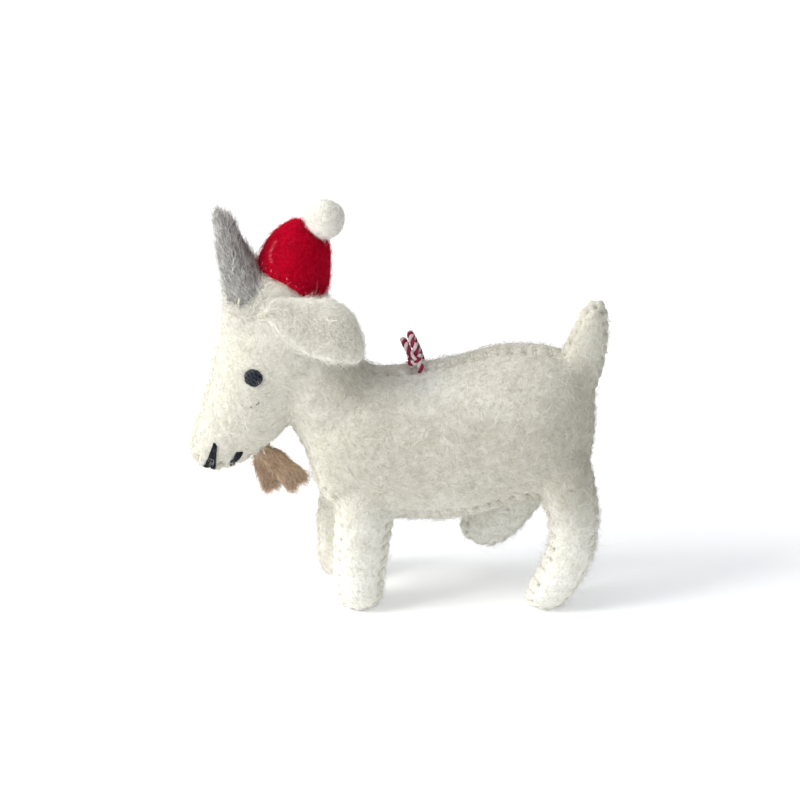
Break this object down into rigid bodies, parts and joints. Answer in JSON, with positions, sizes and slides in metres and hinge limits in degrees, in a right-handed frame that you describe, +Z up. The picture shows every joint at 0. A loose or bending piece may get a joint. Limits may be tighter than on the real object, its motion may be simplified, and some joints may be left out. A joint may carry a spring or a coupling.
{
  "type": "felt goat ornament",
  "caption": "Hand-sewn stuffed felt goat with horns, floppy ears, cap with a felt ball, beard strips and a twine hanging loop.",
  "frame": {"origin": "on the floor under the middle of the goat's bounding box", "axes": "+Z up, -X the way the goat faces, -Y the goat's left side"},
  "size_m": [0.114, 0.0399, 0.1171],
  "materials": {
    "cream_felt": "fuzzy hand-cut wool felt, cream white",
    "wool_stuffing": "loose wool fill, off-white",
    "cream_thread": "cotton sewing thread, cream",
    "grey_felt": "heathered grey wool felt with light streaks",
    "navy_thread": "embroidery thread, dark navy, satin stitched",
    "red_felt": "fuzzy crimson wool felt",
    "red_thread": "red sewing thread",
    "white_felt_ball": "needle-felted wool ball, off-white",
    "tan_felt": "heathered brown wool felt with a frayed cut end",
    "red_white_twine": "two-ply twisted cotton twine, one red ply and one white ply"
  },
  "bodies": {
    "goat": {"left_side_panel": "cream_felt", "right_side_panel": "cream_felt", "underbody_gusset": "cream_felt", "head_stuffing": "wool_stuffing", "body_stuffing": "wool_stuffing", "left_front_leg_stuffing": "wool_stuffing", "right_front_leg_stuffing": "wool_stuffing", "left_rear_leg_stuffing": "wool_stuffing", "right_rear_leg_stuffing": "wool_stuffing", "centre_seam_thread": "cream_thread", "left_gusset_seam_thread": "cream_thread", "right_gusset_seam_thread": "cream_thread", "left_ear_stitch": "cream_thread", "right_ear_stitch": "cream_thread", "left_horn": "grey_felt", "right_horn": "grey_felt", "left_horn_stuffing": "wool_stuffing", "right_horn_stuffing": "wool_stuffing", "left_horn_stitch": "cream_thread", "right_horn_stitch": "cream_thread", "left_eye": "navy_thread", "right_eye": "navy_thread", "left_nose_embroidery": "navy_thread", "right_nose_embroidery": "navy_thread", "left_mouth_embroidery": "navy_thread", "right_mouth_embroidery": "navy_thread", "cap": "red_felt", "cap_rim_stitch": "red_thread", "felt_ball": "white_felt_ball", "felt_ball_thread": "cream_thread", "beard_stitch": "cream_thread", "loop_anchor_strand": "red_white_twine"},
    "left_ear": {"left_ear": "cream_felt"},
    "right_ear": {"right_ear": "cream_felt"},
    "long_beard_strip": {"long_beard_strip": "tan_felt"},
    "short_beard_strip": {"short_beard_strip": "tan_felt"},
    "hanging_loop": {"hanging_loop": "red_white_twine", "loop_knot": "red_white_twine"}
  },
  "joints": [
    {"name": "left_ear_flap", "type": "hinge", "parent": "goat", "child": "left_ear", "pos_m": [-0.0364, -0.01105, 0.0879], "axis": [0, -0.3219, -0.9468], "range_deg": [0, 50], "stiffness_Nm_per_rad": 0.001},
    {"name": "right_ear_flap", "type": "hinge", "parent": "goat", "child": "right_ear", "pos_m": [-0.0366, 0.01105, 0.088], "axis": [0.6336, -0.3218, 0.7036], "range_deg": [0, 50], "stiffness_Nm_per_rad": 0.001},
    {"name": "long_beard_swing", "type": "hinge", "parent": "goat", "child": "long_beard_strip", "pos_m": [-0.0364, 0, 0.0419], "axis": [0, 1, 0], "range_deg": [-4, 45], "stiffness_Nm_per_rad": 0.0005},
    {"name": "short_beard_swing", "type": "hinge", "parent": "goat", "child": "short_beard_strip", "pos_m": [-0.0364, 0, 0.0419], "axis": [0, 1, 0], "range_deg": [-20, 30], "stiffness_Nm_per_rad": 0.0005},
    {"name": "hanging_loop_swing", "type": "hinge", "parent": "goat", "child": "hanging_loop", "pos_m": [0.0047, -0.0004, 0.0696], "axis": [1, 0, 0], "range_deg": [0, 70]}
  ]
}
